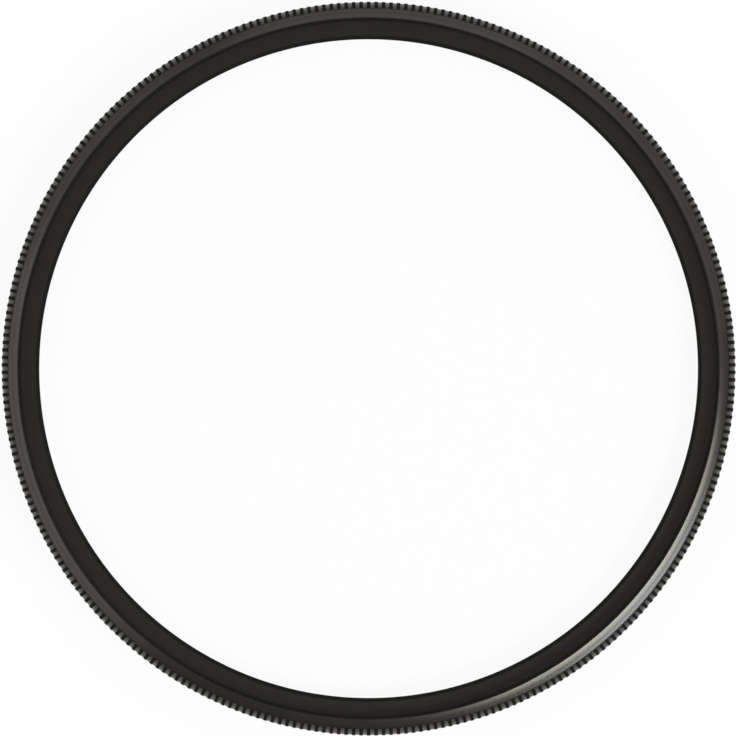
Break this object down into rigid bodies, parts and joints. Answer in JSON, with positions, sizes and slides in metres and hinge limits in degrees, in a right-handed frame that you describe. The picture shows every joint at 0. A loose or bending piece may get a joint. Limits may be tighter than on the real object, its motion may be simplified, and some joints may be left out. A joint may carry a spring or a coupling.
{
  "type": "screw-in lens filter",
  "caption": "Round screw-in camera lens filter: knurled black ring with a rear male thread and a front female thread, holding a clear glass disc under a threaded retaining ring.",
  "frame": {"origin": "on the optical axis at the end face of the rear thread, which the filter rests on", "axes": "+Z along the optical axis from the camera lens towards the scene, so the front thread opens upwards; X and Y are free, the body is round"},
  "size_m": [0.08, 0.08, 0.007],
  "materials": {
    "black_anodised": "satin black anodised, finely turned",
    "clear_glass": "polished and coated, clear"
  },
  "bodies": {
    "root": {"filter_frame": "black_anodised", "filter_glass": "clear_glass", "retaining_ring": "black_anodised"}
  },
  "joints": []
}
